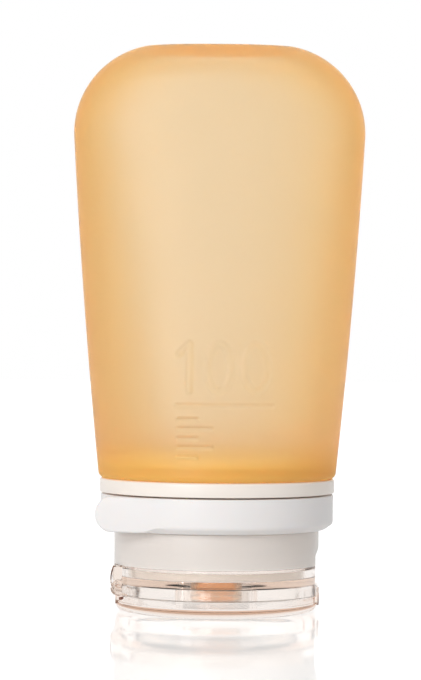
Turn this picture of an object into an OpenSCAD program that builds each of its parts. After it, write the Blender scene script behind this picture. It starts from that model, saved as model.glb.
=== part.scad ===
// Travel squeeze tube, standing upside down on its closed flip lid.
// Millimetres. +Z is up, the cap's axis is Z, the front faces -Y and the lid's hinge is on the left, at -X.

/* [Squeeze body] */
// Height of the soft body from its mouth to its flat tail
body_h = 85.9; // [70:0.1:110]
// Outer diameter of the body at its mouth
mouth_d = 47.2; // [46:0.1:50]
// Widest width, just below the shoulders of the tail
shoulder_w = 58.2; // [52:0.1:66]
// Radius of the two tail corners, seen from the front
shoulder_r = 17.6; // [10:0.1:22]
// Depth of the body at the height of the tail corners
tail_depth = 28; // [24:0.1:40]
// Radius of the tail edge, seen from the side
tail_edge_r = 9; // [6:0.1:11]
// How far the flat tail cuts into the round corners
tail_cut = 0.2; // [0:0.05:0.6]
// How far the sides bow out between mouth and shoulder
side_bow = 0.4; // [0:0.05:1]
// Squareness of the tail's oval section, 2 is an ellipse
tail_square = 2.35; // [2:0.05:2.8]
// Wall of the soft body
body_wall = 2.2; // [1.4:0.1:2.6]
// Thickness of the lip that grips the neck collar
lip_h = 2.2; // [1.6:0.1:3]
// Rounding of the mouth's outer edge
mouth_edge_r = 1.1; // [0.4:0.1:1.6]

/* [Neck collar] */
// How far the collar's flange is set in from the body's mouth
flange_step = 0.2; // [0:0.05:0.5]
// Height of the flange
flange_h = 2.8; // [2:0.05:4]
// Room for the thread between the neck and the cap's skirt
thread_room = 1.5; // [1.4:0.05:1.8]
// Wall of the neck
neck_wall = 1.8; // [1.2:0.1:2.4]
// Height of the barb that holds the body's lip
barb_h = 1.6; // [1:0.1:3]
// How far the barb stands out past the lip's bore
barb_out = 1.9; // [1:0.1:2.6]

/* [Cap] */
// Wall of the frosted skirt
skirt_wall = 1.5; // [1.2:0.1:1.6]
// How far the polished apron is set in from the frosted skirt
apron_step = 0.1; // [0:0.05:0.3]
// Height of the polished apron, from the cap's lower edge
apron_h = 6; // [5:0.1:8]
// Height of the cap from its lower edge to its top edge
cap_h = 20.05; // [18:0.05:26]
// Wall of the apron and of the lid's rim
rim_wall = 3.5; // [3.2:0.1:5]
// Depth of the chamber between the lid and the deck, on the cap's side
chamber_h = 2.2; // [1.6:0.1:3]
// Thickness of the deck that carries the nozzle
deck_t = 1.5; // [1.2:0.1:2]
// Depth of the groove that the loop band sits in
groove_depth = 0.4; // [0.2:0.1:0.6]
// Radius of the nozzle as a share of the neck's bore radius
nozzle_share = 0.423; // [0.38:0.001:0.45]
// Wall of the nozzle
nozzle_wall = 1.4; // [1:0.1:1.6]
// How far the nozzle stands out of the deck
nozzle_h = 3.5; // [2.5:0.1:3.6]
// Width of the valve's seat round the nozzle
seat_room = 3.7; // [2.5:0.1:3.9]
// Wall of the collar round that seat
seat_wall = 1.2; // [0.8:0.1:1.6]

/* [Loop band] */
// How far the loop band is set in from the flange's edge
band_step = 0.2; // [0:0.05:0.4]
// Thickness of the loop band
band_t = 3; // [2.6:0.1:3.4]
// Height of the loop band
band_h = 6.9; // [5:0.05:9]
// Height of the bevel along the band's lower edge
band_bevel_h = 1.2; // [0.5:0.05:2]
// Width of that bevel
band_bevel_w = 1.7; // [0.5:0.1:2.3]
// Thickness of the pull tab
tab_t = 2.4; // [2.4:0.1:2.8]
// Length of the pull tab from the point where it leaves the ring
tab_length = 14.6; // [12:0.1:20]
// Angle round the ring at which the tab leaves it, from the front towards the hinge
tab_angle = 29; // [20:1:40]

/* [Valve] */
// Thickness of the seal washer under the neck
seal_t = 1.4; // [1:0.1:2]
// How far the seal washer stands in past the neck's bore
seal_in = 0.2; // [0:0.1:0.6]
// Wall of the valve's cup
valve_wall = 1.1; // [0.8:0.1:1.4]
// Thickness of the valve's slit head
valve_head_t = 0.9; // [0.6:0.1:1.2]
// Thickness of the valve's flange
valve_flange_t = 0.9; // [0.6:0.1:1.4]
// Length of each of the two slits in the valve
slit_length = 5; // [3:0.1:6]
// Height of the clamp ring that holds the valve
clamp_h = 1.6; // [1:0.1:2]
// How far the clamp ring's bore is wider than the nozzle, in radius
clamp_step = 0.4; // [0:0.1:1]

/* [Lid] */
// How far the lid is set in from the apron
lid_step = 0.2; // [0:0.05:0.4]
// Height of the lid from the table to its rim
lid_h = 3.2; // [2.6:0.1:4]
// Thickness of the lid's plate
lid_plate_t = 1.5; // [1:0.1:1.8]
// Radius of the lid's lower outer edge
lid_edge_r = 1.5; // [1:0.1:2.4]
// Wall of the ring that closes round the nozzle
plug_wall = 1.2; // [0.8:0.1:1.3]
// Diameter of the pip that backs the valve
pip_d = 5; // [3:0.1:6]
// Height of the pip
pip_h = 0.6; // [0.3:0.1:0.8]
// Width of the finger lip across the front of the lid
finger_w = 9; // [6:0.1:10]
// Height of the finger lip above the lid's rim
finger_h = 1.9; // [1:0.1:3]
// Thickness of the finger lip
finger_t = 0.5; // [0.4:0.05:0.6]
// Depth of the finger recess in the cap
recess_depth = 0.8; // [0.5:0.05:0.9]
// Height of the finger recess above the cap's lower edge
recess_h = 9.6; // [6:0.1:11]

/* [Hinge] */
// Radius of the hinge barrel
barrel_r = 1.45; // [1.2:0.05:1.45]
// Width of the lid's middle knuckle
knuckle_w = 10; // [6:0.1:12]
// Width of each of the cap's two ears
ear_w = 3; // [2.4:0.1:4]
// Radius of the lid's two hinge pins
hinge_pin_r = 0.75; // [0.6:0.05:0.8]
// Length of each hinge pin
hinge_pin_length = 2.2; // [1.6:0.1:2.3]
// Radius of the bowed cover over the ears, seen from the front
ear_bow_r = 6.3; // [5:0.1:9]

/* [Fits] */
// Gap between the lid's rim and the cap
lid_gap = 0.1; // [0.05:0.05:0.3]
// Gap between the cap's top edge and the neck's flange
flange_gap = 0.25; // [0.1:0.05:0.5]
// Gap round the loop band
band_gap = 0.2; // [0.15:0.05:0.4]
// Radial clearance round the hinge pins
pin_fit = 0.06; // [0.03:0.01:0.1]
// Gap between the moving faces of the hinge
hinge_gap = 0.2; // [0.15:0.05:0.3]
// Gap between the parts of the valve and their seats
seat_gap = 0.1; // [0.05:0.05:0.2]
// Gap between the lid's ring and the deck above it
plug_gap = 0.3; // [0.2:0.05:0.4]
// Radial gap between the nozzle and the lid's ring
plug_fit = 0.4; // [0.3:0.05:0.5]
// Radial gap between the seal washer and the bore it lies in
seal_gap = 0.2; // [0.1:0.05:0.3]
// Radial gap between the neck and the narrow end of the skirt's bore
lead_in = 0.3; // [0.2:0.05:0.4]

/* [Hidden] */
eps = 0.01;
past = 1;
$fn = 96;
// Levels of the stack, from the table up
cap_z0 = lid_h + lid_gap;
deck_z0 = cap_z0 + chamber_h;
deck_z1 = deck_z0 + deck_t;
apron_z1 = cap_z0 + apron_h;
cap_z1 = cap_z0 + cap_h;
neck_z0 = deck_z1 + seal_t;
flange_z0 = cap_z1 + flange_gap;
flange_z1 = flange_z0 + flange_h;
band_z1 = cap_z1 - seat_gap;
band_z0 = band_z1 - band_h;
groove_z0 = band_z0 - seat_gap;
barb_z0 = flange_z1 + lip_h;
nozzle_z0 = deck_z0 - nozzle_h;
// Radii shared between pieces that fit each other
flange_r = mouth_d / 2 - flange_step;
band_r = flange_r - band_step;
band_in_r = band_r - band_t;
groove_r = band_in_r - band_gap;
cap_r = groove_r + groove_depth;
cap_bore_r = cap_r - skirt_wall;
apron_r = cap_r - apron_step;
chamber_r = apron_r - rim_wall;
lid_r = apron_r - lid_step;
neck_r = cap_bore_r - thread_room;
neck_in_r = neck_r - neck_wall;
lead_in_r = neck_r + lead_in;
lip_bore_r = neck_r + lead_in;
barb_r = lip_bore_r + barb_out;
nozzle_r = neck_in_r * nozzle_share;
nozzle_bore_r = nozzle_r - nozzle_wall;
valve_r = nozzle_bore_r - seat_gap;
seat_r = nozzle_r + seat_room;
clamp_r = seat_r - seat_gap;
valve_flange_r = clamp_r;
plug_in_r = nozzle_r + plug_fit;
plug_r = plug_in_r + plug_wall;
// Hinge axis, level with the barrel's radius above the cap's lower edge
hinge_x = -(cap_r + 0.45 - barrel_r);
hinge_z = cap_z0 + barrel_r + 0.05;
hinge_half_w = knuckle_w / 2 + hinge_gap + ear_w;
bow_x = -(cap_r + 0.5) + ear_bow_r;
bow_z = hinge_z + barrel_r + 0.45;
// Finger recess and lip, on the side away from the hinge
recess_x = cap_r - recess_depth;
recess_z1 = cap_z0 + recess_h;
finger_x = lid_r + 0.25;
// Rings and sides of the soft body's skin
outer_sides = 64;
inner_sides = 48;
wall_rings = 8;
corner_rings = 10;
edge_rings = 3;

// The outline of the soft body: a tangent line from the mouth that bows a little, then an arc over the shoulder
function arc_x(wide, r) = wide / 2 - r;
function arc_h(r) = body_h + tail_cut - r;
function lean(wide, r) = atan2(arc_h(r), arc_x(wide, r) - mouth_d / 2)
    - asin(r / norm([arc_x(wide, r) - mouth_d / 2, arc_h(r)]));
function tangent_h(wide, r) = arc_h(r) + r * sin(lean(wide, r) - 90);
function line_x(h, wide, r, bow) = let (t = h / tangent_h(wide, r))
    mouth_d / 2 + h / tan(lean(wide, r)) + bow * 4 * t * (1 - t);
function outline(h, wide, r, bow, inset) = h < tangent_h(wide, r)
    ? line_x(h, wide, r, bow) - inset
    : arc_x(wide, r) + sqrt(max(0, pow(r - inset, 2) - pow(h - arc_h(r), 2)));
function half_width(h, inset) = outline(h, shoulder_w, shoulder_r, side_bow, inset);
function half_depth(h, inset) = outline(h, tail_depth, tail_edge_r, 0, inset);
function squareness(h) = 2 + (tail_square - 2) * min(1, h / tangent_h(shoulder_w, shoulder_r));
function signed_pow(v, p) = sign(v) * pow(abs(v), p);
function oval(h, inset, sides) = let (e = 2 / squareness(h))
    [for (i = [0:sides - 1]) let (a = 360 * i / sides)
        [half_width(h, inset) * signed_pow(cos(a), e), half_depth(h, inset) * signed_pow(sin(a), e), h]];
// Heights of the rings: up the wall, then round the shoulder by equal angles
function corner_angle(inset) = asin((shoulder_r - tail_cut - inset) / (shoulder_r - inset));
function shoulder_heights(inset) = let (a0 = lean(shoulder_w, shoulder_r) - 90, a1 = corner_angle(inset))
    [for (i = [0:corner_rings]) arc_h(shoulder_r) + (shoulder_r - inset) * sin(a0 + (a1 - a0) * i / corner_rings)];
function wall_heights(from) = let (top = tangent_h(shoulder_w, shoulder_r))
    [for (i = [0:wall_rings - 1]) from + (top - from) * i / wall_rings];
// Faces of a skin of rings, closed by a flat cap at each end
function skin_faces(rings, sides) = concat(
    [[for (i = [0:sides - 1]) i]],
    [for (k = [0:rings - 2], i = [0:sides - 1]) let (j = (i + 1) % sides)
        [k * sides + i, (k + 1) * sides + i, (k + 1) * sides + j]],
    [for (k = [0:rings - 2], i = [0:sides - 1]) let (j = (i + 1) % sides)
        [k * sides + i, (k + 1) * sides + j, k * sides + j]],
    [[for (i = [0:sides - 1]) rings * sides - 1 - i]]);
module skin(rings, sides) {
    points = [for (ring = rings) for (p = ring) p];
    polyhedron(points = points, faces = skin_faces(len(rings), sides), convexity = 4);
}
module body_outside() {
    edge = [for (i = [0:edge_rings - 1]) let (a = 90 * i / edge_rings)
        oval(mouth_edge_r * (1 - cos(a)), mouth_edge_r * (1 - sin(a)), outer_sides)];
    side = [for (h = concat(wall_heights(mouth_edge_r), shoulder_heights(0))) oval(h, 0, outer_sides)];
    skin(concat(edge, side), outer_sides);
}
module body_inside() {
    skin([for (h = concat(wall_heights(lip_h), shoulder_heights(body_wall)))
        oval(h, body_wall, inner_sides)], inner_sides);
}
// A tube between two radii
module ring(outer_r, inner_r, z0, z1) {
    translate([0, 0, z0]) difference() {
        cylinder(r = outer_r, h = z1 - z0);
        translate([0, 0, -past]) cylinder(r = inner_r, h = z1 - z0 + 2 * past);
    }
}
// A bar along Y
module cross_bar(x, z, r, w) {
    translate([x, 0, z]) rotate([90, 0, 0]) cylinder(r = r, h = w, center = true);
}
module cross_block(x0, x1, z0, z1, w) {
    translate([x0, -w / 2, z0]) cube([x1 - x0, w, z1 - z0]);
}

// Soft body: one silicone moulding, round at the mouth and an oval at the flat tail
module squeeze_body() {
    color([0.94, 0.74, 0.46, 0.9]) translate([0, 0, flange_z1]) difference() {
        body_outside();
        body_inside();
        translate([0, 0, -past]) cylinder(r = lip_bore_r, h = lip_h + 2 * past);
    }
}
// Neck collar: flange, threaded neck below it and the barb that holds the body's lip above it
module neck_collar() {
    edge = 0.35;
    color([0.93, 0.92, 0.91, 0.8]) rotate_extrude() polygon([
        [neck_in_r, neck_z0],
        [neck_r - edge, neck_z0],
        [neck_r, neck_z0 + edge],
        [neck_r, flange_z0],
        [flange_r - edge, flange_z0],
        [flange_r, flange_z0 + edge],
        [flange_r, flange_z1 - edge],
        [flange_r - edge, flange_z1],
        [neck_r, flange_z1],
        [neck_r, barb_z0 + seat_gap],
        [barb_r, barb_z0 + seat_gap],
        [barb_r, barb_z0 + barb_h / 3],
        [neck_r - edge, barb_z0 + barb_h],
        [neck_in_r, barb_z0 + barb_h]]);
}
// Loop band: a stretch ring in the cap's groove, with a round-ended pull tab that leaves it on a tangent
module loop_band() {
    edge = 0.5;
    round_x = band_h / 2 - tab_length;
    color([0.96, 0.96, 0.95]) translate([0, 0, band_z0]) {
        rotate_extrude() polygon([
            [band_in_r, 0],
            [band_r - band_bevel_w, 0],
            [band_r, band_bevel_h],
            [band_r, band_h - edge],
            [band_r - edge, band_h],
            [band_in_r, band_h]]);
        rotate([0, 0, -tab_angle]) translate([0, tab_t - band_r, band_h / 2])
            rotate([90, 0, 0]) linear_extrude(tab_t) {
                translate([round_x, 0]) circle(d = band_h);
                translate([round_x, -band_h / 2]) square([-round_x, band_h]);
            }
    }
}
// Ears of the hinge: two straight bosses under a bowed cover
module hinge_ears() {
    cross_bar(hinge_x, hinge_z, barrel_r, 2 * hinge_half_w);
    intersection() {
        cross_bar(bow_x, bow_z, ear_bow_r, 2 * hinge_half_w);
        cross_block(-cap_r - past, -chamber_r - 1, hinge_z, apron_z1, 2 * hinge_half_w);
    }
    cross_block(hinge_x - 0.2, -chamber_r - 0.4, cap_z0, hinge_z, 2 * hinge_half_w);
}
// Room for the lid's knuckle between the ears
module knuckle_room() {
    w = knuckle_w + 2 * hinge_gap;
    room_r = barrel_r + hinge_gap;
    cross_bar(hinge_x, hinge_z, room_r, w);
    cross_block(-cap_r - 2 * past, hinge_x, cap_z0 - past, hinge_z, w);
    cross_block(hinge_x, hinge_x + room_r, cap_z0 - past, hinge_z, w);
    cross_block(-cap_r - 2 * past, -cap_r + eps, hinge_z, apron_z1 + past, w);
}
// Cap: frosted skirt, polished apron, deck with the nozzle, and the ears of the hinge
module cap() {
    recess_run = 1.6;
    color([0.92, 0.90, 0.88, 0.7]) difference() {
        union() {
            rotate_extrude() polygon([
                [nozzle_bore_r, nozzle_z0],
                [nozzle_r, nozzle_z0],
                [nozzle_r, deck_z0],
                [chamber_r, deck_z0],
                [chamber_r, cap_z0],
                [apron_r, cap_z0],
                [apron_r, apron_z1],
                [cap_r, apron_z1],
                [cap_r, groove_z0],
                [groove_r, groove_z0],
                [groove_r, cap_z1],
                [cap_bore_r, cap_z1],
                [cap_bore_r, neck_z0 + seal_t],
                [lead_in_r, neck_z0],
                [lead_in_r, deck_z1],
                [seat_r + seat_wall, deck_z1],
                [seat_r + seat_wall, deck_z1 + valve_flange_t + clamp_h],
                [seat_r, deck_z1 + valve_flange_t + clamp_h],
                [seat_r, deck_z1],
                [nozzle_bore_r, deck_z1]]);
            difference() {
                hinge_ears();
                translate([0, 0, cap_z0 - past]) cylinder(r = chamber_r + 0.2, h = apron_h + 2 * past);
            }
        }
        knuckle_room();
        cross_bar(hinge_x, hinge_z, hinge_pin_r + pin_fit, knuckle_w + 2 * (hinge_pin_length + hinge_gap));
        rotate([90, 0, 0]) linear_extrude(2 * cap_r, center = true) polygon([
            [recess_x, cap_z0 - past],
            [cap_r + past, cap_z0 - past],
            [cap_r + past, recess_z1 + past],
            [cap_r, recess_z1],
            [recess_x, recess_z1 - recess_run]]);
    }
}
// Seal washer between the deck and the neck's edge
module cap_seal() {
    color([0.95, 0.80, 0.62]) ring(lead_in_r - seal_gap, neck_in_r - seal_in, deck_z1, neck_z0);
}
// Valve: a soft cup in the nozzle with a flat head that two slits cross
module valve() {
    head_z0 = nozzle_z0 + pip_h + 0.4;
    slit_w = 0.12;
    color([0.95, 0.72, 0.50]) difference() {
        union() {
            ring(valve_flange_r, valve_r - valve_wall, deck_z1, deck_z1 + valve_flange_t);
            ring(valve_r, valve_r - valve_wall, head_z0, deck_z1 + eps);
            translate([0, 0, head_z0]) cylinder(r = valve_r, h = valve_head_t);
        }
        for (turn = [0, 90]) rotate([0, 0, turn])
            translate([-slit_length / 2, -slit_w / 2, head_z0 - past])
                cube([slit_length, slit_w, valve_head_t + 2 * past]);
    }
}
// Clamp ring pressed into the deck's collar over the valve's flange
module valve_clamp() {
    color([0.90, 0.90, 0.90]) ring(clamp_r, nozzle_r + clamp_step,
        deck_z1 + valve_flange_t, deck_z1 + valve_flange_t + clamp_h);
}
// Lid: a shallow clear cup with the ring that closes round the nozzle
module lid() {
    relief_r = barrel_r + 1.15;
    color([0.95, 0.93, 0.92, 0.4]) {
        difference() {
            union() {
                rotate_extrude() difference() {
                    intersection() {
                        square([lid_r, lid_h]);
                        union() {
                            square([lid_r - lid_edge_r, lid_h]);
                            translate([0, lid_edge_r]) square([lid_r, lid_h]);
                            translate([lid_r - lid_edge_r, lid_edge_r]) circle(r = lid_edge_r);
                        }
                    }
                    translate([plug_r, lid_plate_t]) square([chamber_r - plug_r, lid_h]);
                    translate([-past, lid_plate_t]) square([plug_in_r + past, lid_h]);
                }
                finger_lip();
            }
            for (side = [-1, 1]) translate([0, side * (hinge_half_w + knuckle_w / 2) / 2, 0])
                cross_bar(hinge_x, hinge_z, relief_r, hinge_half_w - knuckle_w / 2 + 2 * hinge_gap);
        }
        ring(plug_r, plug_in_r, lid_plate_t - eps, deck_z0 - plug_gap);
        translate([0, 0, lid_plate_t - eps]) cylinder(d = pip_d, h = pip_h);
        lid_knuckle();
    }
}
// Knuckle of the lid, with a pin at each end that snaps into an ear
module lid_knuckle() {
    cross_bar(hinge_x, hinge_z, barrel_r, knuckle_w);
    cross_bar(hinge_x, hinge_z, hinge_pin_r, knuckle_w + 2 * hinge_pin_length);
    cross_block(hinge_x - 0.6, hinge_x + barrel_r, lid_plate_t, hinge_z, knuckle_w);
}
// Lip that a finger lifts, standing in front of the cap's recess
module finger_lip() {
    cross_block(lid_r - 1.5, finger_x, lid_edge_r, lid_h, finger_w);
    cross_block(finger_x - finger_t, finger_x, lid_edge_r, lid_h + finger_h, finger_w);
}

squeeze_body();
neck_collar();
loop_band();
cap();
cap_seal();
valve();
valve_clamp();
lid();
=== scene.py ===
"""Travel squeeze tube standing upside down on its clear flip lid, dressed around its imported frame."""

import math

import bmesh
import bpy
import numpy as np
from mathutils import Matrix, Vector


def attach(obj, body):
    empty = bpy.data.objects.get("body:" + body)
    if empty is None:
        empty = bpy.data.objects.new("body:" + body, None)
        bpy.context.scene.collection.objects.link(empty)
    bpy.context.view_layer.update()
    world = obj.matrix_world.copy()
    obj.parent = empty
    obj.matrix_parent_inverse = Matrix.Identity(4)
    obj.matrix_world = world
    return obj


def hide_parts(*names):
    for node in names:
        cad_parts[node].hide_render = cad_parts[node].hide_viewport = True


bl_info = {
    "name": "Travel squeeze tube",
    "version": (1, 0, 0),
    "blender": (4, 5, 0),
    "location": "3D View > Sidebar > Squeeze tube",
    "description": "Builds a soft squeeze tube with a flip cap, a loop band and a studio stage",
    "category": "Add Mesh",
}

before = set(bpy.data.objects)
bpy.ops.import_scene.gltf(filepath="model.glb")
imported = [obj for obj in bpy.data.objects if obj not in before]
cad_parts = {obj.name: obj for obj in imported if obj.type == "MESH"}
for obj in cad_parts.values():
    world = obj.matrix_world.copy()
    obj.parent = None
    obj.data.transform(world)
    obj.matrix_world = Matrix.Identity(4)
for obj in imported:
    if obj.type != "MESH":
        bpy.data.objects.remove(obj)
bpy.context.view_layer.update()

# Levels of the stack in millimetres, from the table up, as the frame has them
LID_FLOOR = 1.5
NOZZLE_LOW = 2.0
HEAD_LOW = 3.0
LID_TOP = 3.2
CAP_LOW = 3.3
HEAD_TOP = 3.9
PLUG_TOP = 5.2
DECK_LOW = 5.5
DECK_TOP = 7.0
VALVE_TOP = 7.9
NECK_LOW = 8.4
BORE_FOOT = 8.6
APRON_TOP = 9.3
SEAT_TOP = 9.5
BORE_LOW = 9.8
GROOVE_LOW = 16.25
BAND_LOW = 16.35
BAND_TOP = 23.25
CAP_TOP = 23.35
FLANGE_LOW = 23.6
FLANGE_TOP = 26.4
BARB_LOW = 28.7
BARB_TOP = 30.2
# Radii of the pieces that fit each other
NECK_BORE = 15.6
NECK_ROOT = 17.4
LIP_BORE = 17.7
BARB = 19.6
SEAL_BORE = 15.4
CHAMBER = 16.8
CAP_BORE = 18.9
APRON = 20.3
SKIRT = 20.4
GROOVE = 20.0
BAND_BORE = 20.2
PLUG = 8.2
PLUG_BORE = 7.0
NOZZLE = 6.6
NOZZLE_BORE = 5.2
SEAT_RIM = 11.5
SEAT_BORE = 10.3
VALVE_RIM = 10.2
VALVE_CUP = 5.1
VALVE_BORE = 4.0
CLAMP_BORE = 7.0
# Hinge line of the lid, along Y
HINGE_X = -19.4
HINGE_Z = 4.8
BARREL = 1.45
HINGE_PIN = 0.75
PIN_HALF = 7.2
KNUCKLE_HALF = 5.0
EAR_NEAR = 5.2
EAR_FAR = 8.2
# Screw thread, right-handed
PITCH = 4.0
THREAD_LOW = 11.0
THREAD_TOP = 21.0
# The cap's thread stands that much higher than the neck's
THREAD_LEAD = 1.0
# Step from the apron out to the skirt
APRON_STEP = 0.1
# Width of the slow drift in a moulding's gloss
DRIFT = 9.0


def linear(code):
    """Turns an sRGB hex colour into the linear colour that the shaders take."""
    parts = [int(code[i:i + 2], 16) / 255 for i in (1, 3, 5)]
    return tuple(c / 12.92 if c <= 0.04045 else ((c + 0.055) / 1.055) ** 2.4 for c in parts)


class SqueezeTubeSizes(bpy.types.PropertyGroup):
    """Sizes of the tube that a user would change."""

    body_height: bpy.props.FloatProperty(
        name="Body height", description="Soft body from its mouth to its flat tail", default=0.0859,
        unit="LENGTH")
    mouth_width: bpy.props.FloatProperty(
        name="Mouth width", description="Outer diameter of the soft body at its mouth", default=0.0472,
        unit="LENGTH")
    shoulder_width: bpy.props.FloatProperty(
        name="Shoulder width", description="Widest width, just below the tail corners", default=0.0582,
        unit="LENGTH")
    shoulder_radius: bpy.props.FloatProperty(
        name="Shoulder radius", description="Radius of the tail corners seen from the front", default=0.0176,
        unit="LENGTH")
    tail_depth: bpy.props.FloatProperty(
        name="Tail depth", description="Depth of the body at the tail corners", default=0.028, unit="LENGTH")
    tail_edge: bpy.props.FloatProperty(
        name="Tail edge radius", description="Radius of the tail edge seen from the side", default=0.009,
        unit="LENGTH")
    body_wall: bpy.props.FloatProperty(
        name="Body wall", description="Thickness of the soft wall", default=0.0022, unit="LENGTH")
    mark_height: bpy.props.FloatProperty(
        name="Mark height", description="How far the moulded numbers stand proud", default=0.0003,
        unit="LENGTH")
    flange_width: bpy.props.FloatProperty(
        name="Collar width", description="Diameter of the neck collar's flange", default=0.0468,
        unit="LENGTH")
    band_width: bpy.props.FloatProperty(
        name="Band width", description="Outer diameter of the loop band", default=0.0464, unit="LENGTH")
    tab_length: bpy.props.FloatProperty(
        name="Tab length", description="Length of the band's pull tab", default=0.0146, unit="LENGTH")
    lid_width: bpy.props.FloatProperty(
        name="Lid width", description="Outer diameter of the lid", default=0.0402, unit="LENGTH")


class SqueezeTubeFinishes(bpy.types.PropertyGroup):
    """Colours of the tube's mouldings."""

    body_tint: bpy.props.FloatVectorProperty(
        name="Body tint", description="Tint that the soft orange body gives light at its surface",
        subtype="COLOR", min=0, max=1, default=linear("#FFFBF6"))
    # Painted light: colour of the band just above the mouth, a deeper, brighter orange that stands in for the
    # glow of light through the thick lip
    lip_tint_and_painted_glow: bpy.props.FloatVectorProperty(
        name="Lip tint and painted glow", description="Colour of the body's thick lip, where its skin throws light back",
        subtype="COLOR", min=0, max=1, default=linear("#FFDC78"))
    collar_tint: bpy.props.FloatVectorProperty(
        name="Collar tint", description="Colour of the milky neck collar",
        subtype="COLOR", min=0, max=1, default=linear("#FAF1E8"))
    band_tint: bpy.props.FloatVectorProperty(
        name="Band tint", description="Colour of the white loop band",
        subtype="COLOR", min=0, max=1, default=linear("#F3F0EF"))
    cap_tint: bpy.props.FloatVectorProperty(
        name="Cap tint", description="Tint of the cap's clear apron",
        subtype="COLOR", min=0, max=1, default=linear("#FFFEFD"))
    lid_tint: bpy.props.FloatVectorProperty(
        name="Lid tint", description="Tint of the clear lid",
        subtype="COLOR", min=0, max=1, default=linear("#FFFFFF"))
    skirt_tint: bpy.props.FloatVectorProperty(
        name="Skirt tint", description="Tint of the cap's frosted skirt",
        subtype="COLOR", min=0, max=1, default=linear("#FFFAF5"))
    seal_tint: bpy.props.FloatVectorProperty(
        name="Seal tint", description="Colour of the seal washer",
        subtype="COLOR", min=0, max=1, default=linear("#FFF3E8"))
    valve_tint: bpy.props.FloatVectorProperty(
        name="Valve tint", description="Tint of the clear valve",
        subtype="COLOR", min=0, max=1, default=linear("#FFE0C2"))


def size(name):
    """A size of the tube in millimetres."""
    return getattr(bpy.context.scene.squeeze_tube_sizes, name) * 1000


def tint(name):
    """A colour of the tube with its alpha."""
    return (*getattr(bpy.context.scene.squeeze_tube_finishes, name), 1)


# Mesh building, in millimetres until the mesh is written

def piece_of(name, rings, loop=False):
    """A mesh object from rings of points. The rings join end to end, or get a face at each end."""
    rings = np.asarray(rings, float)
    count, sides = rings.shape[:2]
    points = (rings.reshape(-1, 3) / 1000).tolist()
    last = count if loop else count - 1
    faces = []
    for k in range(last):
        low = k * sides
        high = (k + 1) % count * sides
        faces += [(low + i, low + (i + 1) % sides, high + (i + 1) % sides, high + i) for i in range(sides)]
    if not loop:
        faces.append(tuple(reversed(range(sides))))
        faces.append(tuple(range((count - 1) * sides, count * sides)))
    mesh = bpy.data.meshes.new(name)
    mesh.from_pydata(points, [], faces)
    work = bmesh.new()
    work.from_mesh(mesh)
    bmesh.ops.remove_doubles(work, verts=work.verts, dist=1e-7)
    bmesh.ops.recalc_face_normals(work, faces=work.faces)
    work.to_mesh(mesh)
    work.free()
    piece = bpy.data.objects.new(name, mesh)
    bpy.context.scene.collection.objects.link(piece)
    return piece


def rounded(outline, steps=5):
    """Rounds the corners of a closed outline of (r, z) or (r, z, radius) points."""
    count = len(outline)
    points = []
    for i, corner in enumerate(outline):
        here = np.array(corner[:2], float)
        if len(corner) < 3:
            points.append(here)
            continue
        arms = []
        for near in (outline[i - 1], outline[(i + 1) % count]):
            arm = np.array(near[:2], float) - here
            # A round takes less than half of a side, which leaves room for the next one
            arms.append(arm / np.hypot(*arm) * min(corner[2], np.hypot(*arm) * 0.45))
        for s in np.linspace(0, 1, steps):
            points.append(here + (1 - s) ** 2 * arms[0] + s ** 2 * arms[1])
    return np.array(points)


def turned(name, outline, steps=192, ridge=None):
    """A moulding of revolution about the cap's axis. A ridge changes the radius by place."""
    outline = rounded(outline)
    turn = np.arange(steps) * 2 * math.pi / steps
    radius = np.repeat(outline[:, :1], steps, 1)
    height = np.repeat(outline[:, 1:], steps, 1)
    if ridge:
        radius = radius + ridge(radius, height, turn[None, :])
    return piece_of(name, np.stack([radius * np.cos(turn), radius * np.sin(turn), height], -1), loop=True)


def rungs(radius, start, end):
    """Points along a straight wall, close enough for a thread to show on it."""
    spacing = 0.2
    return [(radius, z) for z in np.linspace(start, end, int(abs(end - start) / spacing) + 1)]


def thread_ridge(wall, height, phase, low, high):
    """Ridge of a right-handed thread on the wall at that radius. It fades out at both ends."""
    # Half width of the ridge's foot, width of its flank, and height over which it fades out
    foot, flank, run_out = 0.85, 0.4, 0.8

    def ridge(radius, z, turn):
        offset = (z - PITCH * turn / (2 * math.pi) - phase) % PITCH
        offset = np.minimum(offset, PITCH - offset)
        crest = np.clip((foot - offset) / flank, 0, 1)
        fade = np.clip((z - low) / run_out, 0, 1) * np.clip((high - z) / run_out, 0, 1)
        return np.where(np.abs(radius - wall) < 1e-6, height * crest * fade, 0)
    return ridge


def prism(name, outline, near, far, edge=0.0):
    """A prism along Y from an outline of (x, z) points, with its end edges eased by that much."""
    outline = np.asarray(outline, float)
    middle = (outline.min(0) + outline.max(0)) / 2
    reach = (outline.max(0) - outline.min(0)) / 2
    ends = [(near, edge), (near + edge, 0), (far - edge, 0), (far, edge)] if edge else [(near, 0), (far, 0)]
    rings = []
    for y, ease in ends:
        shape = middle + (outline - middle) * (1 - ease / reach)
        rings.append([(x, y, z) for x, z in shape])
    return piece_of(name, rings)


def arc(x, z, radius, start, end, steps=24):
    """Points round an arc in the XZ plane, in degrees from +X towards +Z."""
    turns = np.radians(np.linspace(start, end, steps))
    return [(x + radius * math.cos(t), z + radius * math.sin(t)) for t in turns]


def bar(name, radius, near, far, edge=0.0):
    """A round bar on the hinge line."""
    return prism(name, arc(HINGE_X, HINGE_Z, radius, 0, 352.5, 48), near, far, edge)


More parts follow.
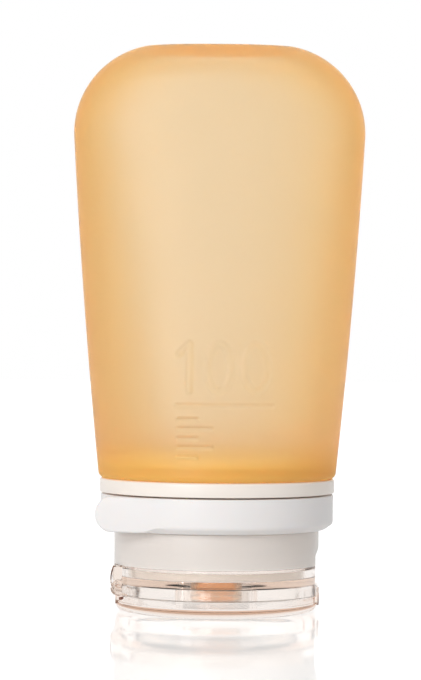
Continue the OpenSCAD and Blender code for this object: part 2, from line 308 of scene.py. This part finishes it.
def carve(piece, *steps):
    """Joins or cuts other solids into a piece, which are used up."""
    for operation, tool in steps:
        change = piece.modifiers.new("carve", "BOOLEAN")
        change.operation = operation
        change.solver = "EXACT"
        change.object = tool
    graph = bpy.context.evaluated_depsgraph_get()
    mesh = bpy.data.meshes.new_from_object(piece.evaluated_get(graph))
    piece.modifiers.clear()
    old = piece.data
    piece.data = mesh
    mesh.name = piece.name
    bpy.data.meshes.remove(old)
    for _, tool in steps:
        bpy.data.objects.remove(tool)
    if not mesh.polygons:
        raise RuntimeError(piece.name + " was left with no faces")


def dress(piece, node, body, material, sharp=32):
    """Shades a piece, gives it its material and hands it to the frame."""
    mesh = piece.data
    mesh.shade_smooth()
    mesh.set_sharp_from_angle(angle=math.radians(sharp))
    mesh.materials.clear()
    mesh.materials.append(material)
    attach(piece, body)
    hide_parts(node)


# Materials

def add(tree, kind, values=None, **settings):
    """Adds a node with its settings, and its values or links by socket name."""
    node = tree.nodes.new(kind)
    for key, value in settings.items():
        setattr(node, key, value)
    for key, value in (values or {}).items():
        if isinstance(value, bpy.types.NodeSocket):
            tree.links.new(value, node.inputs[key])
        else:
            node.inputs[key].default_value = value
    return node


def per_metre(millimetres):
    """Scale of a noise pattern whose cells are that wide."""
    return 1000 / millimetres


def moulding(name, base, roughness, grain_mm, grain_depth_mm, fluid=None, **values):
    """A moulded plastic or rubber: even colour, roughness that drifts a little, and the mould's own grain."""
    material = bpy.data.materials.new(name)
    material.use_nodes = True
    tree = material.node_tree
    tree.nodes.clear()
    place = add(tree, "ShaderNodeTexCoord")
    drift = add(tree, "ShaderNodeTexNoise", {
        "Vector": place.outputs["Object"], "Scale": per_metre(DRIFT), "Detail": 3.0, "Roughness": 0.5})
    gloss = add(tree, "ShaderNodeMapRange", {
        "Value": drift.outputs["Fac"], "From Min": 0.3, "From Max": 0.7,
        "To Min": roughness[0], "To Max": roughness[1]})
    grain = add(tree, "ShaderNodeTexNoise", {
        "Vector": place.outputs["Object"], "Scale": per_metre(grain_mm), "Detail": 2.0, "Roughness": 0.6})
    relief = add(tree, "ShaderNodeBump", {
        "Height": grain.outputs["Fac"], "Strength": 0.6, "Distance": grain_depth_mm / 1000})
    shader = add(tree, "ShaderNodeBsdfPrincipled", {
        "Base Color": base, "Roughness": gloss.outputs["Result"], "Normal": relief.outputs["Normal"]})
    for key, value in values.items():
        shader.inputs[key.replace("_", " ")].default_value = value
    output = add(tree, "ShaderNodeOutputMaterial", {"Surface": shader.outputs["BSDF"]})
    if fluid:
        colour, density = fluid
        inside = add(tree, "ShaderNodeVolumeAbsorption", {"Color": (*colour, 1), "Density": density})
        tree.links.new(inside.outputs["Volume"], output.inputs["Volume"])
    return material


def mixed(material, kind, colour, share):
    """Mixes a share of a plain shader into a moulding's surface."""
    tree = material.node_tree
    surface = tree.nodes["Material Output"].inputs["Surface"]
    plain = add(tree, kind, {"Color": colour})
    mix = add(tree, "ShaderNodeMixShader", {
        0: share, 1: surface.links[0].from_socket, 2: plain.outputs["BSDF"]})
    tree.links.new(mix.outputs["Shader"], surface)


def body_silicone():
    """Silicone rubber, moulded against a blasted steel face.

    It is milky and lets light through, so it glows where the wall is thin and deepens to orange
    where the eye looks along the wall. The blasted face leaves no gloss."""
    milk_share, painted_glow_share = 0.3, 0.48
    # Heights above the mouth between which the share of painted light fades out
    fade_low, fade_high = 0.5, 8.5
    material = moulding(
        "Silicone_moulded_satin_orange", tint("body_tint"), (0.36, 0.42), 0.7, 0.006,
        fluid=((0.985, 0.70, 0.04), 165.0), IOR=1.41, Transmission_Weight=1.0)
    mixed(material, "ShaderNodeBsdfTranslucent", tint("body_tint"), milk_share)
    # Painted light: just above the mouth a diffuse band of deeper, brighter orange is mixed in, standing in
    # for the glow of light through the thick lip. The lip is thicker there too, which deepens its own orange.
    tree = material.node_tree
    place = add(tree, "ShaderNodeSeparateXYZ", {"Vector": tree.nodes["Texture Coordinate"].outputs["Object"]})
    # Share of that painted light, highest just above the mouth and fading out with height
    thick = add(tree, "ShaderNodeMapRange", {
        "Value": place.outputs["Z"], "From Min": (FLANGE_TOP + fade_high) / 1000,
        "From Max": (FLANGE_TOP + fade_low) / 1000, "To Min": 0.0, "To Max": painted_glow_share},
        interpolation_type="SMOOTHSTEP")
    mixed(material, "ShaderNodeBsdfDiffuse", tint("lip_tint_and_painted_glow"), thick.outputs["Result"])
    return material


def collar_polypropylene():
    """Polypropylene, moulded and left natural: milky, with a soft waxy gloss."""
    return moulding(
        "Polypropylene_moulded_natural", tint("collar_tint"), (0.30, 0.38), 0.9, 0.012,
        IOR=1.49, Subsurface_Weight=0.1, Subsurface_Radius=(0.002, 0.0018, 0.0016), Subsurface_Scale=1.0)


def band_silicone():
    """Silicone rubber, pigmented white: even, soft to the eye, with blurred highlights."""
    return moulding(
        "Silicone_moulded_white", tint("band_tint"), (0.42, 0.5), 0.6, 0.015,
        IOR=1.41, Subsurface_Weight=0.35, Subsurface_Radius=(0.0016, 0.0013, 0.0011), Subsurface_Scale=1.0)


def copolyester(name, colour, density):
    """Clear copolyester, moulded against a polished face: clear like glass, and warm where it is thick."""
    return moulding(
        name, tint(colour), (0.06, 0.1), 6.0, 0.01,
        fluid=((0.69, 0.33, 0.054), density), IOR=1.5, Transmission_Weight=1.0)


def cap_copolyester():
    """The same copolyester, but the mould is etched above the apron, which leaves the skirt frosted."""
    added_roughness, lost_clearness = 0.22, 0.65
    material = copolyester("Copolyester_moulded_etched_skirt", "cap_tint", density=20.0)
    tree = material.node_tree
    shader = tree.nodes["Principled BSDF"]
    place = add(tree, "ShaderNodeSeparateXYZ", {"Vector": tree.nodes["Texture Coordinate"].outputs["Object"]})
    etched = add(tree, "ShaderNodeMath", {
        0: place.outputs["Z"], 1: (APRON_TOP + APRON_STEP / 2) / 1000}, operation="GREATER_THAN")
    # Sockets 6 and 7 are the mix's two colours, and socket 2 is the colour that comes out
    colour = add(tree, "ShaderNodeMix", {
        0: etched.outputs[0], 6: tint("cap_tint"), 7: tint("skirt_tint")}, data_type="RGBA")
    rough = add(tree, "ShaderNodeMath", {
        0: etched.outputs[0], 1: added_roughness, 2: tree.nodes["Map Range"].outputs["Result"]},
        operation="MULTIPLY_ADD")
    clear = add(tree, "ShaderNodeMath", {
        0: etched.outputs[0], 1: -lost_clearness, 2: 1.0}, operation="MULTIPLY_ADD")
    tree.links.new(colour.outputs[2], shader.inputs["Base Color"])
    tree.links.new(rough.outputs[0], shader.inputs["Roughness"])
    tree.links.new(clear.outputs[0], shader.inputs["Transmission Weight"])
    return material


def seal_silicone():
    """Silicone rubber, moulded and pigmented a pale orange: even and soft."""
    return moulding("Silicone_moulded_seal", tint("seal_tint"), (0.4, 0.5), 0.8, 0.01, IOR=1.41)


def valve_silicone():
    """Silicone rubber, moulded thin and left clear, so that it only warms what is behind it."""
    return moulding(
        "Silicone_moulded_valve", tint("valve_tint"), (0.16, 0.24), 0.8, 0.01,
        IOR=1.41, Transmission_Weight=1.0)


# The pieces

class TUBE_OT_stage(bpy.types.Operator):
    """Build the floor, the lamps, the white surroundings and the camera"""

    bl_idname = "squeeze_tube.stage"
    bl_label = "Stage and camera"

    def execute(self, context):
        scene = context.scene
        scene.view_settings.view_transform = "Standard"
        # The clear cap needs more bounces than the defaults, or its edges turn black
        scene.cycles.max_bounces = 48
        scene.cycles.diffuse_bounces = 24
        scene.cycles.transmission_bounces = 48
        scene.cycles.glossy_bounces = 24
        self.floor()
        self.surroundings(scene)
        # Name, place, width of the lamp in metres and power in watts
        self.lamp("Lamp_left", (-0.42, -0.74, 0.34), 0.5, 4.15)
        self.lamp("Lamp_right", (0.75, -0.5, 0.3), 0.5, 0.3)
        self.lamp("Lamp_top", (0.0, 0.05, 0.8), 0.6, 0.9)
        camera = bpy.data.cameras.new("Camera")
        # The photograph's focal length and height in pixels
        focal, frame_height = 2745, 680
        camera.sensor_width = 36
        camera.lens = camera.sensor_width * focal / frame_height
        camera.clip_start = 0.01
        holder = bpy.data.objects.new("Camera", camera)
        holder.location = (-0.00152, -0.549, 0.0539)
        # The photograph leans by about half a degree
        holder.rotation_euler = (math.radians(90), math.radians(-0.46), 0)
        scene.collection.objects.link(holder)
        scene.camera = holder
        return {"FINISHED"}

    def floor(self):
        """A sheet of white acrylic: it mirrors faintly at a low angle and takes a soft shadow."""
        reach, thick, steps = 3000, 4, 96
        profile = ((reach - 5, -thick), (reach, 0.5 - thick), (reach, -0.5), (reach - 1, 0))
        turn = np.arange(steps) * 2 * math.pi / steps
        rings = [[(r * math.cos(t), r * math.sin(t), z) for t in turn] for r, z in profile]
        floor = piece_of("Floor", rings)
        sheet = bpy.data.materials.new("Acrylic_sheet_white")
        sheet.use_nodes = True
        tree = sheet.node_tree
        tree.nodes.clear()
        # The camera sees it glow a little, and mirrors and clear pieces show it as plain white
        ray = add(tree, "ShaderNodeLightPath")
        glow = add(tree, "ShaderNodeMath", {0: ray.outputs["Is Camera Ray"], 1: 0.3}, operation="MULTIPLY")
        shader = add(tree, "ShaderNodeBsdfPrincipled", {
            "Base Color": (*linear("#F4F4F4"), 1), "Roughness": 0.06, "IOR": 1.49,
            "Emission Color": (1, 1, 1, 1), "Emission Strength": glow.outputs[0]})
        white = add(tree, "ShaderNodeEmission", {"Color": (1, 1, 1, 1), "Strength": 1.0})
        mirrored = add(tree, "ShaderNodeMath", {
            0: ray.outputs["Is Glossy Ray"], 1: ray.outputs["Is Transmission Ray"]}, operation="MAXIMUM")
        sheen = add(tree, "ShaderNodeMixShader", {
            0: mirrored.outputs[0], 1: shader.outputs[0], 2: white.outputs[0]})
        add(tree, "ShaderNodeOutputMaterial", {"Surface": sheen.outputs[0]})
        floor.data.materials.append(sheet)

    def surroundings(self, scene):
        """White where it is seen, and a plain even fill where it lights."""
        world = bpy.data.worlds.new("Studio")
        world.use_nodes = True
        tree = world.node_tree
        tree.nodes.clear()
        fill = add(tree, "ShaderNodeBackground", {"Color": (1, 1, 1, 1), "Strength": 0.42})
        white = add(tree, "ShaderNodeBackground", {"Color": (1, 1, 1, 1), "Strength": 1.0})
        ray = add(tree, "ShaderNodeLightPath")
        mirrored = add(tree, "ShaderNodeMath", {
            0: ray.outputs["Is Glossy Ray"], 1: ray.outputs["Is Transmission Ray"]}, operation="MAXIMUM")
        seen = add(tree, "ShaderNodeMath", {
            0: mirrored.outputs[0], 1: ray.outputs["Is Camera Ray"]}, operation="MAXIMUM")
        mix = add(tree, "ShaderNodeMixShader", {0: seen.outputs[0], 1: fill.outputs[0], 2: white.outputs[0]})
        add(tree, "ShaderNodeOutputWorld", {"Surface": mix.outputs[0]})
        # The world is the same all over, so rays find it by themselves and none is aimed at it
        world.cycles.sampling_method = "NONE"
        scene.world = world

    def lamp(self, name, place, width, power):
        """A square soft box that faces the tube."""
        light = bpy.data.lights.new(name, "AREA")
        light.size = width
        light.energy = power
        lamp = bpy.data.objects.new(name, light)
        lamp.location = place
        middle = Vector((0, 0, 0.06))
        lamp.rotation_euler = (middle - Vector(place)).to_track_quat("-Z", "Y").to_euler()
        lamp.visible_camera = False
        bpy.context.scene.collection.objects.link(lamp)


class TUBE_OT_squeeze_body(bpy.types.Operator):
    """Build the soft body: a hollow silicone moulding with raised plain numbers on its front"""

    bl_idname = "squeeze_tube.squeeze_body"
    bl_label = "Squeeze body"

    # Thickness of the lip that turns in at the mouth, and the round of the mouth's outer edge
    lip = 2.2
    mouth_edge = 1.1
    # The flat tail cuts this much off the top of the shoulders' rounds
    tail_cut = 0.45
    # How far the sides bow out halfway up
    side_bow = 0.4
    # Shape of a section at the shoulders: 2 is an ellipse, and more is squarer
    tail_square = 2.35
    # The sides of the soft wall are thicker than its front and back
    side_more = 1.1
    front_less = 0.9
    # Just above the mouth the wall is thicker by these, which fade out with height
    low_side = 0.6
    low_front = 1.7
    low_reach = 4.0
    # Height up to which the rings lie close together, for the marks
    marked_top = 31
    # The body's lowest face clears the flange's top by this
    seat_gap = 0.04

    def execute(self, context):
        # Points lie closer together across the front, where the marks are
        front_from, front_to = 236, 312
        fine = np.linspace(front_from, front_to, 140, endpoint=False)
        coarse = np.linspace(front_to, front_from + 360, 120, endpoint=False)
        self.turn = np.radians(np.concatenate([fine, coarse]))
        outside = np.array(self.outside())
        outside += self.marks(outside)
        inside = self.inside()
        ease = 0.25
        lip = [self.circle(LIP_BORE, self.lip), self.circle(LIP_BORE, ease), self.circle(LIP_BORE + ease, 0)]
        rings = np.concatenate([np.array(inside[::-1] + lip), outside])
        rings[:, :, 2] += FLANGE_TOP
        rings[:, :, 2] = np.maximum(rings[:, :, 2], FLANGE_TOP + self.seat_gap)
        body = piece_of("squeeze_body_silicone", rings)
        dress(body, "squeeze_body", "tube", body_silicone(), sharp=40)
        return {"FINISHED"}

    def outside(self):
        """Rings of the skin, from the rounded mouth up to the flat tail."""
        edge = self.mouth_edge
        rings = []
        for a in np.radians(np.linspace(0, 80, 6)):
            inset = edge * (1 - math.sin(a))
            rings.append(self.oval(edge * (1 - math.cos(a)), inset, inset))
        marked = np.linspace(edge, self.marked_top, 124, endpoint=False)
        plain = np.linspace(self.marked_top, self.shoulder_start(), 30, endpoint=False)
        rings += [self.oval(h, 0, 0) for h in np.concatenate([marked, plain])]
        rings += [self.oval(h, 0, 0) for h in self.shoulder(0, 34)]
        tail = rings[-1]
        return rings + [tail * (scale, scale, 1) for scale in (0.985, 0.9, 0.6, 0.25)]

    def inside(self):
        """Rings of the inner face, from the lip up to the tail."""
        wall = size("body_wall")
        side, front = wall + self.side_more, wall - self.front_less
        rings = []
        for h in np.linspace(self.lip, self.shoulder_start(), 36, endpoint=False):
            low = math.exp(-(h - self.lip) / self.low_reach)
            rings.append(self.oval(h, side + self.low_side * low, front + self.low_front * low))
        rings += [self.oval(h, side, front) for h in self.shoulder(side, 20)]
        tail = rings[-1]
        return rings + [tail * (scale, scale, 1) for scale in (0.9, 0.5, 0.2)]

    def circle(self, radius, h):
        """A round ring of points at that height."""
        c, s = np.cos(self.turn), np.sin(self.turn)
        return np.stack([radius * c, radius * s, np.full_like(c, h)], -1)

    def lean(self, wide, radius):
        """Angle of the straight side that runs from the mouth to a round of that radius."""
        across = wide / 2 - radius - size("mouth_width") / 2
        up = self.round_height(radius)
        return math.atan2(up, across) - math.asin(radius / math.hypot(across, up))

    def round_height(self, radius):
        """Height of the middle of a round that the flat tail cuts."""
        return size("body_height") + self.tail_cut - radius

    def tangent(self, wide, radius):
        """Height at which the straight side meets the round."""
        return self.round_height(radius) + radius * math.sin(self.lean(wide, radius) - math.pi / 2)

    def shoulder_start(self):
        """Height at which the rounded shoulders start, seen from the front."""
        return self.tangent(size("shoulder_width"), size("shoulder_radius"))

    def outline(self, h, wide, radius, bow, inset):
        """Half width of the body at that height: a line from the mouth, then an arc over the shoulder."""
        top = self.tangent(wide, radius)
        if h < top:
            t = h / top
            straight = size("mouth_width") / 2 + h / math.tan(self.lean(wide, radius))
            return straight + bow * 4 * t * (1 - t) - inset
        rise = h - self.round_height(radius)
        return wide / 2 - radius + math.sqrt(max(0, (radius - inset) ** 2 - rise ** 2))

    def oval(self, h, side, front):
        """A ring of points at that height, set in at its sides and its front. It is squarer higher up."""
        half_x = self.outline(h, size("shoulder_width"), size("shoulder_radius"), self.side_bow, side)
        half_y = self.outline(h, size("tail_depth"), size("tail_edge"), 0, front)
        power = 2 + (self.tail_square - 2) * min(1, h / self.shoulder_start())
        c, s = np.cos(self.turn), np.sin(self.turn)
        reach = (np.abs(c) ** power + np.abs(s) ** power) ** (-1 / power)
        return np.stack([half_x * reach * c, half_y * reach * s, np.full_like(c, h)], -1)

    def shoulder(self, inset, steps):
        """Heights of the rings round the shoulder, by equal angles."""
        radius = size("shoulder_radius")
        start = self.lean(size("shoulder_width"), radius) - math.pi / 2
        end = math.asin((radius - self.tail_cut - inset) / (radius - inset))
        up = self.round_height(radius)
        return [up + (radius - inset) * math.sin(a) for a in np.linspace(start, end, steps)]

    def marks(self, rings):
        """Displacement of the skin for the raised plain numbers and the scale below them."""
        x, y, z = rings[:, :, 0], rings[:, :, 1], rings[:, :, 2] + FLANGE_TOP
        # Width over which a stroke's edge rises, and a gap wide enough to count as none near
        soft, far = 0.45, 9.0
        nearest = np.full(x.shape, far)
        for line, half in self.strokes():
            for (ax, az), (bx, bz) in zip(line, line[1:]):
                run = max((bx - ax) ** 2 + (bz - az) ** 2, 1e-9)
                t = np.clip(((x - ax) * (bx - ax) + (z - az) * (bz - az)) / run, 0, 1)
                gap = np.hypot(x - ax - t * (bx - ax), z - az - t * (bz - az)) - half
                nearest = np.minimum(nearest, gap)
        rise = np.clip(0.5 - nearest / soft, 0, 1)
        rise = rise * rise * (3 - 2 * rise) * (y < 0) * size("mark_height")
        around = np.roll(rings, -1, 1) - np.roll(rings, 1, 1)
        up = np.gradient(rings, axis=0)
        normal = np.cross(around, up)
        length = np.linalg.norm(normal, axis=-1, keepdims=True)
        return normal / np.maximum(length, 1e-9) * rise[:, :, None]

    def strokes(self):
        """Middle lines and half widths of the marks, in millimetres across and above the table."""
        bold, medium, light = 0.55, 0.35, 0.3
        lines = [([(-7.6, 51.2), (-5.6, 53.2), (-5.6, 44.0)], bold)]
        turn = np.linspace(0, 2 * math.pi, 33)
        for middle in (0.2, 7.4):
            lines.append(([(middle + 2.3 * math.cos(a), 48.6 + 4.6 * math.sin(a)) for a in turn], bold))
        lines.append(([(-8.0, 41.2), (10.6, 41.2)], medium))
        for i, z in enumerate(np.linspace(38.6, 31.4, 5)):
            lines.append(([(-7.6, z), (-7.6 + (6.4 if i % 2 else 3.6), z)], light))
        return lines


class TUBE_OT_neck_collar(bpy.types.Operator):
    """Build the neck collar: flange, screw thread below it and the barb above it"""

    bl_idname = "squeeze_tube.neck_collar"
    bl_label = "Neck collar"

    def execute(self, context):
        flange = size("flange_width") / 2
        chamfer, thread_height = 0.35, 1.1
        outline = [
            (NECK_BORE, NECK_LOW, 0.3), (NECK_ROOT - chamfer, NECK_LOW), (NECK_ROOT, NECK_LOW + chamfer)]
        outline += rungs(NECK_ROOT, THREAD_LOW, THREAD_TOP)
        outline += [
            (NECK_ROOT, FLANGE_LOW, 0.3), (flange, FLANGE_LOW, 0.2), (flange, FLANGE_TOP, 0.6),
            (NECK_ROOT, FLANGE_TOP), (NECK_ROOT, BARB_LOW), (BARB, BARB_LOW, 0.2),
            (BARB, BARB_LOW + 0.5, 0.3), (NECK_ROOT - chamfer, BARB_TOP, 0.3), (NECK_BORE, BARB_TOP, 0.4)]
        thread = thread_ridge(NECK_ROOT, thread_height, 0.0, THREAD_LOW, THREAD_TOP)
        collar = turned("neck_collar_moulding", outline, ridge=thread)
        dress(collar, "neck_collar", "tube", collar_polypropylene())
        return {"FINISHED"}


class TUBE_OT_cap(bpy.types.Operator):
    """Build the cap: frosted skirt, polished apron, deck with its nozzle, and the ears of the hinge"""

    bl_idname = "squeeze_tube.cap"
    bl_label = "Cap"

    def execute(self, context):
        outline = [
            (NOZZLE_BORE, NOZZLE_LOW, 0.2), (NOZZLE, NOZZLE_LOW, 0.4), (NOZZLE, DECK_LOW, 0.4),
            (CHAMBER, DECK_LOW, 0.1), (CHAMBER, CAP_LOW, 0.1), (APRON, CAP_LOW, 0.12), (APRON, APRON_TOP),
            (SKIRT, APRON_TOP + APRON_STEP), (SKIRT, GROOVE_LOW, 0.15), (GROOVE, GROOVE_LOW),
            (GROOVE, CAP_TOP, 0.1), (CAP_BORE, CAP_TOP, 0.3)]
        thread_low, thread_top, thread_height = THREAD_LOW + THREAD_LEAD, THREAD_TOP + THREAD_LEAD, 1.05
        outline += rungs(CAP_BORE, thread_top, thread_low)
        outline += [
            (CAP_BORE, BORE_LOW, 0.3), (LIP_BORE, BORE_FOOT), (LIP_BORE, DECK_TOP, 0.2),
            (SEAT_RIM, DECK_TOP, 0.3), (SEAT_RIM, SEAT_TOP, 0.3), (SEAT_BORE, SEAT_TOP, 0.2),
            (SEAT_BORE, DECK_TOP), (NOZZLE_BORE, DECK_TOP, 0.2)]
        thread = thread_ridge(CAP_BORE, -thread_height, PITCH / 2, thread_low, thread_top)
        cap = turned("cap_moulding", outline, ridge=thread)
        play, end_room = 0.06, 0.2
        carve(
            cap,
            ("UNION", prism("ears", self.ear_shape(), -EAR_FAR, EAR_FAR, edge=0.25)),
            ("DIFFERENCE", prism("room", self.room_shape(), -EAR_NEAR, EAR_NEAR)),
            ("DIFFERENCE", bar("pin_hole", HINGE_PIN + play, -PIN_HALF - end_room, PIN_HALF + end_room)),
            ("DIFFERENCE", prism("recess", self.recess_shape(), -SKIRT, SKIRT)))
        dress(cap, "cap", "cap", cap_copolyester())
        return {"FINISHED"}

    def ear_shape(self):
        """Side of an ear: a straight boss round the pin under a bowed cover."""
        bow_x, bow_z, bow_r = -14.6, 6.7, 6.3
        # The ear's foot and head end inside the cap's wall
        foot, head = -17.2, -17.8
        shape = [(foot, CAP_LOW), *arc(HINGE_X, HINGE_Z, BARREL, 270, 180, 10)]
        for z in np.linspace(HINGE_Z + 0.4, APRON_TOP, 14):
            shape.append((bow_x - math.sqrt(bow_r ** 2 - (z - bow_z) ** 2), z))
        return shape + [(head, APRON_TOP)]

    def room_shape(self):
        """Side of the room between the ears, open to the left and below."""
        reach = BARREL + 0.2
        left, low, high = -23, 2.3, 10.3
        back = -SKIRT + 0.01
        over = math.degrees(math.acos((back - HINGE_X) / reach))
        return [(left, low), (HINGE_X + reach, low), *arc(HINGE_X, HINGE_Z, reach, 0, over, 16),
                (back, high), (left, high)]

    def recess_shape(self):
        """Side of the finger recess, which runs out at its upper end."""
        floor, right, low, run_out = SKIRT - 0.8, SKIRT + 1, 2.3, 12.9
        return [(floor, low), (right, low), (right, run_out + 1), (SKIRT, run_out), (floor, run_out - 1.6)]


class TUBE_OT_loop_band(bpy.types.Operator):
    """Build the loop band: a stretch ring with a round-ended pull tab that leaves it on a tangent"""

    bl_idname = "squeeze_tube.loop_band"
    bl_label = "Loop band"

    bevel_wide = 1.7
    bevel_high = 1.2
    # Degrees that the tab leans back from the front plane, to its left
    tab_lean = -29

    def execute(self, context):
        outer = size("band_width") / 2
        ring = turned("loop_band_silicone", [
            (BAND_BORE, BAND_LOW, 0.2), (outer - self.bevel_wide, BAND_LOW, 0.35),
            (outer, BAND_LOW + self.bevel_high, 0.5), (outer, BAND_TOP, 0.25), (BAND_BORE, BAND_TOP, 0.1)],
            steps=224)
        carve(ring, ("UNION", self.tab(outer)))
        dress(ring, "loop_band", "band", band_silicone())
        return {"FINISHED"}

    def tab(self, outer):
        """A flat tab with a full-radius end and eased edges. The ring's bevel fades out along its root."""
        half = (BAND_TOP - BAND_LOW) / 2
        end = half - size("tab_length")
        lean = math.radians(self.tab_lean)
        # Where the tab starts inside the ring, and how far out the ring's bevel has faded
        start, fade_reach = 1.0, 5
        # Depth from the front face, and how far the outline is eased there
        steps = (
            (0.03, 0.5), (0.1, 0.26), (0.25, 0.1), (0.5, 0), (1.9, 0), (2.2, 0.1), (2.34, 0.26), (2.4, 0.5))
        rings = []
        for depth, ease in steps:
            reach = half - ease
            side = [(end + reach * math.cos(a), half + reach * math.sin(a))
                    for a in np.radians(np.linspace(90, 270, 33))]
            # The lower edge has points enough to follow the ring's bevel
            root = [(x, half - reach) for x in np.linspace(end + 0.6, start, 12)]
            outline = [(start, half + reach), *side, *root]
            ring = []
            for along, z in outline:
                fade = min(max((along + fade_reach) / fade_reach, 0), 1)
                floor = self.bevel_high * max(0, 1 - depth / self.bevel_wide) * fade * fade * (3 - 2 * fade)
                across = depth - outer
                ring.append((along * math.cos(lean) - across * math.sin(lean),
                             along * math.sin(lean) + across * math.cos(lean), BAND_LOW + max(z, floor)))
            rings.append(ring)
        return piece_of("tab", rings)


class TUBE_OT_valve_parts(bpy.types.Operator):
    """Build the seal washer, the slit valve and the clamp ring that holds it"""

    bl_idname = "squeeze_tube.valve_parts"
    bl_label = "Valve, seal and clamp"

    def execute(self, context):
        # The washer's thin cup rim reaches up round the neck
        rim_bore, rim = NECK_ROOT + 0.06, NECK_ROOT + 0.22
        seal = turned("seal_washer", [
            (SEAL_BORE, DECK_TOP, 0.3), (rim, DECK_TOP, 0.3), (rim, APRON_TOP, 0.05),
            (rim_bore, APRON_TOP, 0.05), (rim_bore, NECK_LOW), (SEAL_BORE, NECK_LOW, 0.3)])
        dress(seal, "cap_seal", "seal", seal_silicone())
        valve = turned("slit_valve", [
            (0, HEAD_LOW), (VALVE_CUP, HEAD_LOW, 0.4), (VALVE_CUP, DECK_TOP),
            (VALVE_RIM, DECK_TOP, 0.2), (VALVE_RIM, VALVE_TOP, 0.2),
            (VALVE_BORE, VALVE_TOP, 0.4), (VALVE_BORE, HEAD_TOP, 0.4), (0, HEAD_TOP)])
        long, narrow = 2.5, 0.06
        carve(
            valve,
            ("DIFFERENCE", self.slit("slit_x", long, narrow)),
            ("DIFFERENCE", self.slit("slit_y", narrow, long)))
        dress(valve, "valve", "cap", valve_silicone())
        clamp = turned("clamp_ring", [
            (CLAMP_BORE, VALVE_TOP, 0.25), (VALVE_RIM, VALVE_TOP, 0.2), (VALVE_RIM, SEAT_TOP, 0.3),
            (CLAMP_BORE, SEAT_TOP, 0.4)])
        dress(clamp, "valve_clamp", "cap", collar_polypropylene())
        return {"FINISHED"}

    def slit(self, name, half_x, half_y):
        """A thin block through the valve's head, which it cuts along X or Y."""
        low, high = HEAD_LOW - 1, HEAD_TOP + 1.1
        return prism(name, [(-half_x, low), (half_x, low), (half_x, high), (-half_x, high)], -half_y, half_y)


class TUBE_OT_lid(bpy.types.Operator):
    """Build the lid: a shallow clear cup with the plug ring, the hinge knuckle and the finger lip"""

    bl_idname = "squeeze_tube.lid"
    bl_label = "Lid"

    def execute(self, context):
        outer = size("lid_width") / 2
        edge_radius, boss, boss_top = 1.5, 2.5, 2.1
        edge = arc(outer - edge_radius, edge_radius, edge_radius, -90, 0, 12)
        lid = turned("lid_moulding", [
            (0, 0), *edge, (outer, LID_TOP, 0.1), (CHAMBER, LID_TOP, 0.1), (CHAMBER, LID_FLOOR, 0.4),
            (PLUG, LID_FLOOR, 0.3), (PLUG, PLUG_TOP, 0.3), (PLUG_BORE, PLUG_TOP, 0.3),
            (PLUG_BORE, LID_FLOOR, 0.3), (boss, LID_FLOOR, 0.2), (boss, boss_top, 0.2), (0, boss_top)])
        # The rim is cut away round both ears of the cap
        relief, relief_near, relief_far = BARREL + 1.15, KNUCKLE_HALF - 0.2, EAR_FAR + 0.2
        finger_half = 4.5
        carve(
            lid,
            ("DIFFERENCE", bar("relief_near", relief, -relief_far, -relief_near)),
            ("DIFFERENCE", bar("relief_far", relief, relief_near, relief_far)),
            ("UNION", prism("knuckle", self.knuckle_shape(), -KNUCKLE_HALF, KNUCKLE_HALF, edge=0.12)),
            ("UNION", bar("pins", HINGE_PIN, -PIN_HALF, PIN_HALF, edge=0.15)),
            ("UNION", prism("finger", self.finger_shape(outer), -finger_half, finger_half, edge=0.2)))
        clear = copolyester("Copolyester_moulded_polished", "lid_tint", density=36.0)
        dress(lid, "lid", "lid", clear)
        return {"FINISHED"}

    def knuckle_shape(self):
        """Side of the knuckle: a barrel on a foot that runs into the lid's floor."""
        barrel = arc(HINGE_X, HINGE_Z, BARREL, 0, 245, 24)
        return [(HINGE_X - 0.6, LID_FLOOR), (HINGE_X + BARREL, LID_FLOOR), *barrel]

    def finger_shape(self, outer):
        """Side of the finger lip: a thin upright with eased edges, on a foot in the lid's rim."""
        half, ease, top, foot = 0.25, 0.1, 5.1, outer - 1.5
        return [
            (foot, LID_FLOOR), (outer + half - ease, LID_FLOOR), (outer + half, LID_FLOOR + ease),
            (outer + half, top - 0.15), (outer + half - ease, top), (outer - half + ease, top),
            (outer - half, top - 0.15), (outer - half, LID_TOP - ease), (foot, LID_TOP - ease)]


STEPS = (
    TUBE_OT_stage, TUBE_OT_squeeze_body, TUBE_OT_neck_collar, TUBE_OT_cap, TUBE_OT_loop_band,
    TUBE_OT_valve_parts, TUBE_OT_lid)


class TUBE_PT_sidebar(bpy.types.Panel):
    """Lists the sizes, the colours and the steps that build the tube"""

    bl_idname = "TUBE_PT_sidebar"
    bl_label = "Squeeze tube"
    bl_space_type = "VIEW_3D"
    bl_region_type = "UI"
    bl_category = "Squeeze tube"

    def draw(self, context):
        column = self.layout.column(align=True)
        for group in (context.scene.squeeze_tube_sizes, context.scene.squeeze_tube_finishes):
            for name in group.__annotations__:
                column.prop(group, name)
        for step in STEPS:
            column.operator(step.bl_idname)


CLASSES = (SqueezeTubeSizes, SqueezeTubeFinishes, *STEPS, TUBE_PT_sidebar)


def register():
    for item in CLASSES:
        bpy.utils.register_class(item)
    bpy.types.Scene.squeeze_tube_sizes = bpy.props.PointerProperty(type=SqueezeTubeSizes)
    bpy.types.Scene.squeeze_tube_finishes = bpy.props.PointerProperty(type=SqueezeTubeFinishes)


def unregister():
    del bpy.types.Scene.squeeze_tube_finishes
    del bpy.types.Scene.squeeze_tube_sizes
    for item in reversed(CLASSES):
        bpy.utils.unregister_class(item)


def main():
    register()
    bpy.ops.squeeze_tube.stage()
    bpy.ops.squeeze_tube.squeeze_body()
    bpy.ops.squeeze_tube.neck_collar()
    bpy.ops.squeeze_tube.cap()
    bpy.ops.squeeze_tube.loop_band()
    bpy.ops.squeeze_tube.valve_parts()
    bpy.ops.squeeze_tube.lid()


if __name__ == "__main__":
    main()
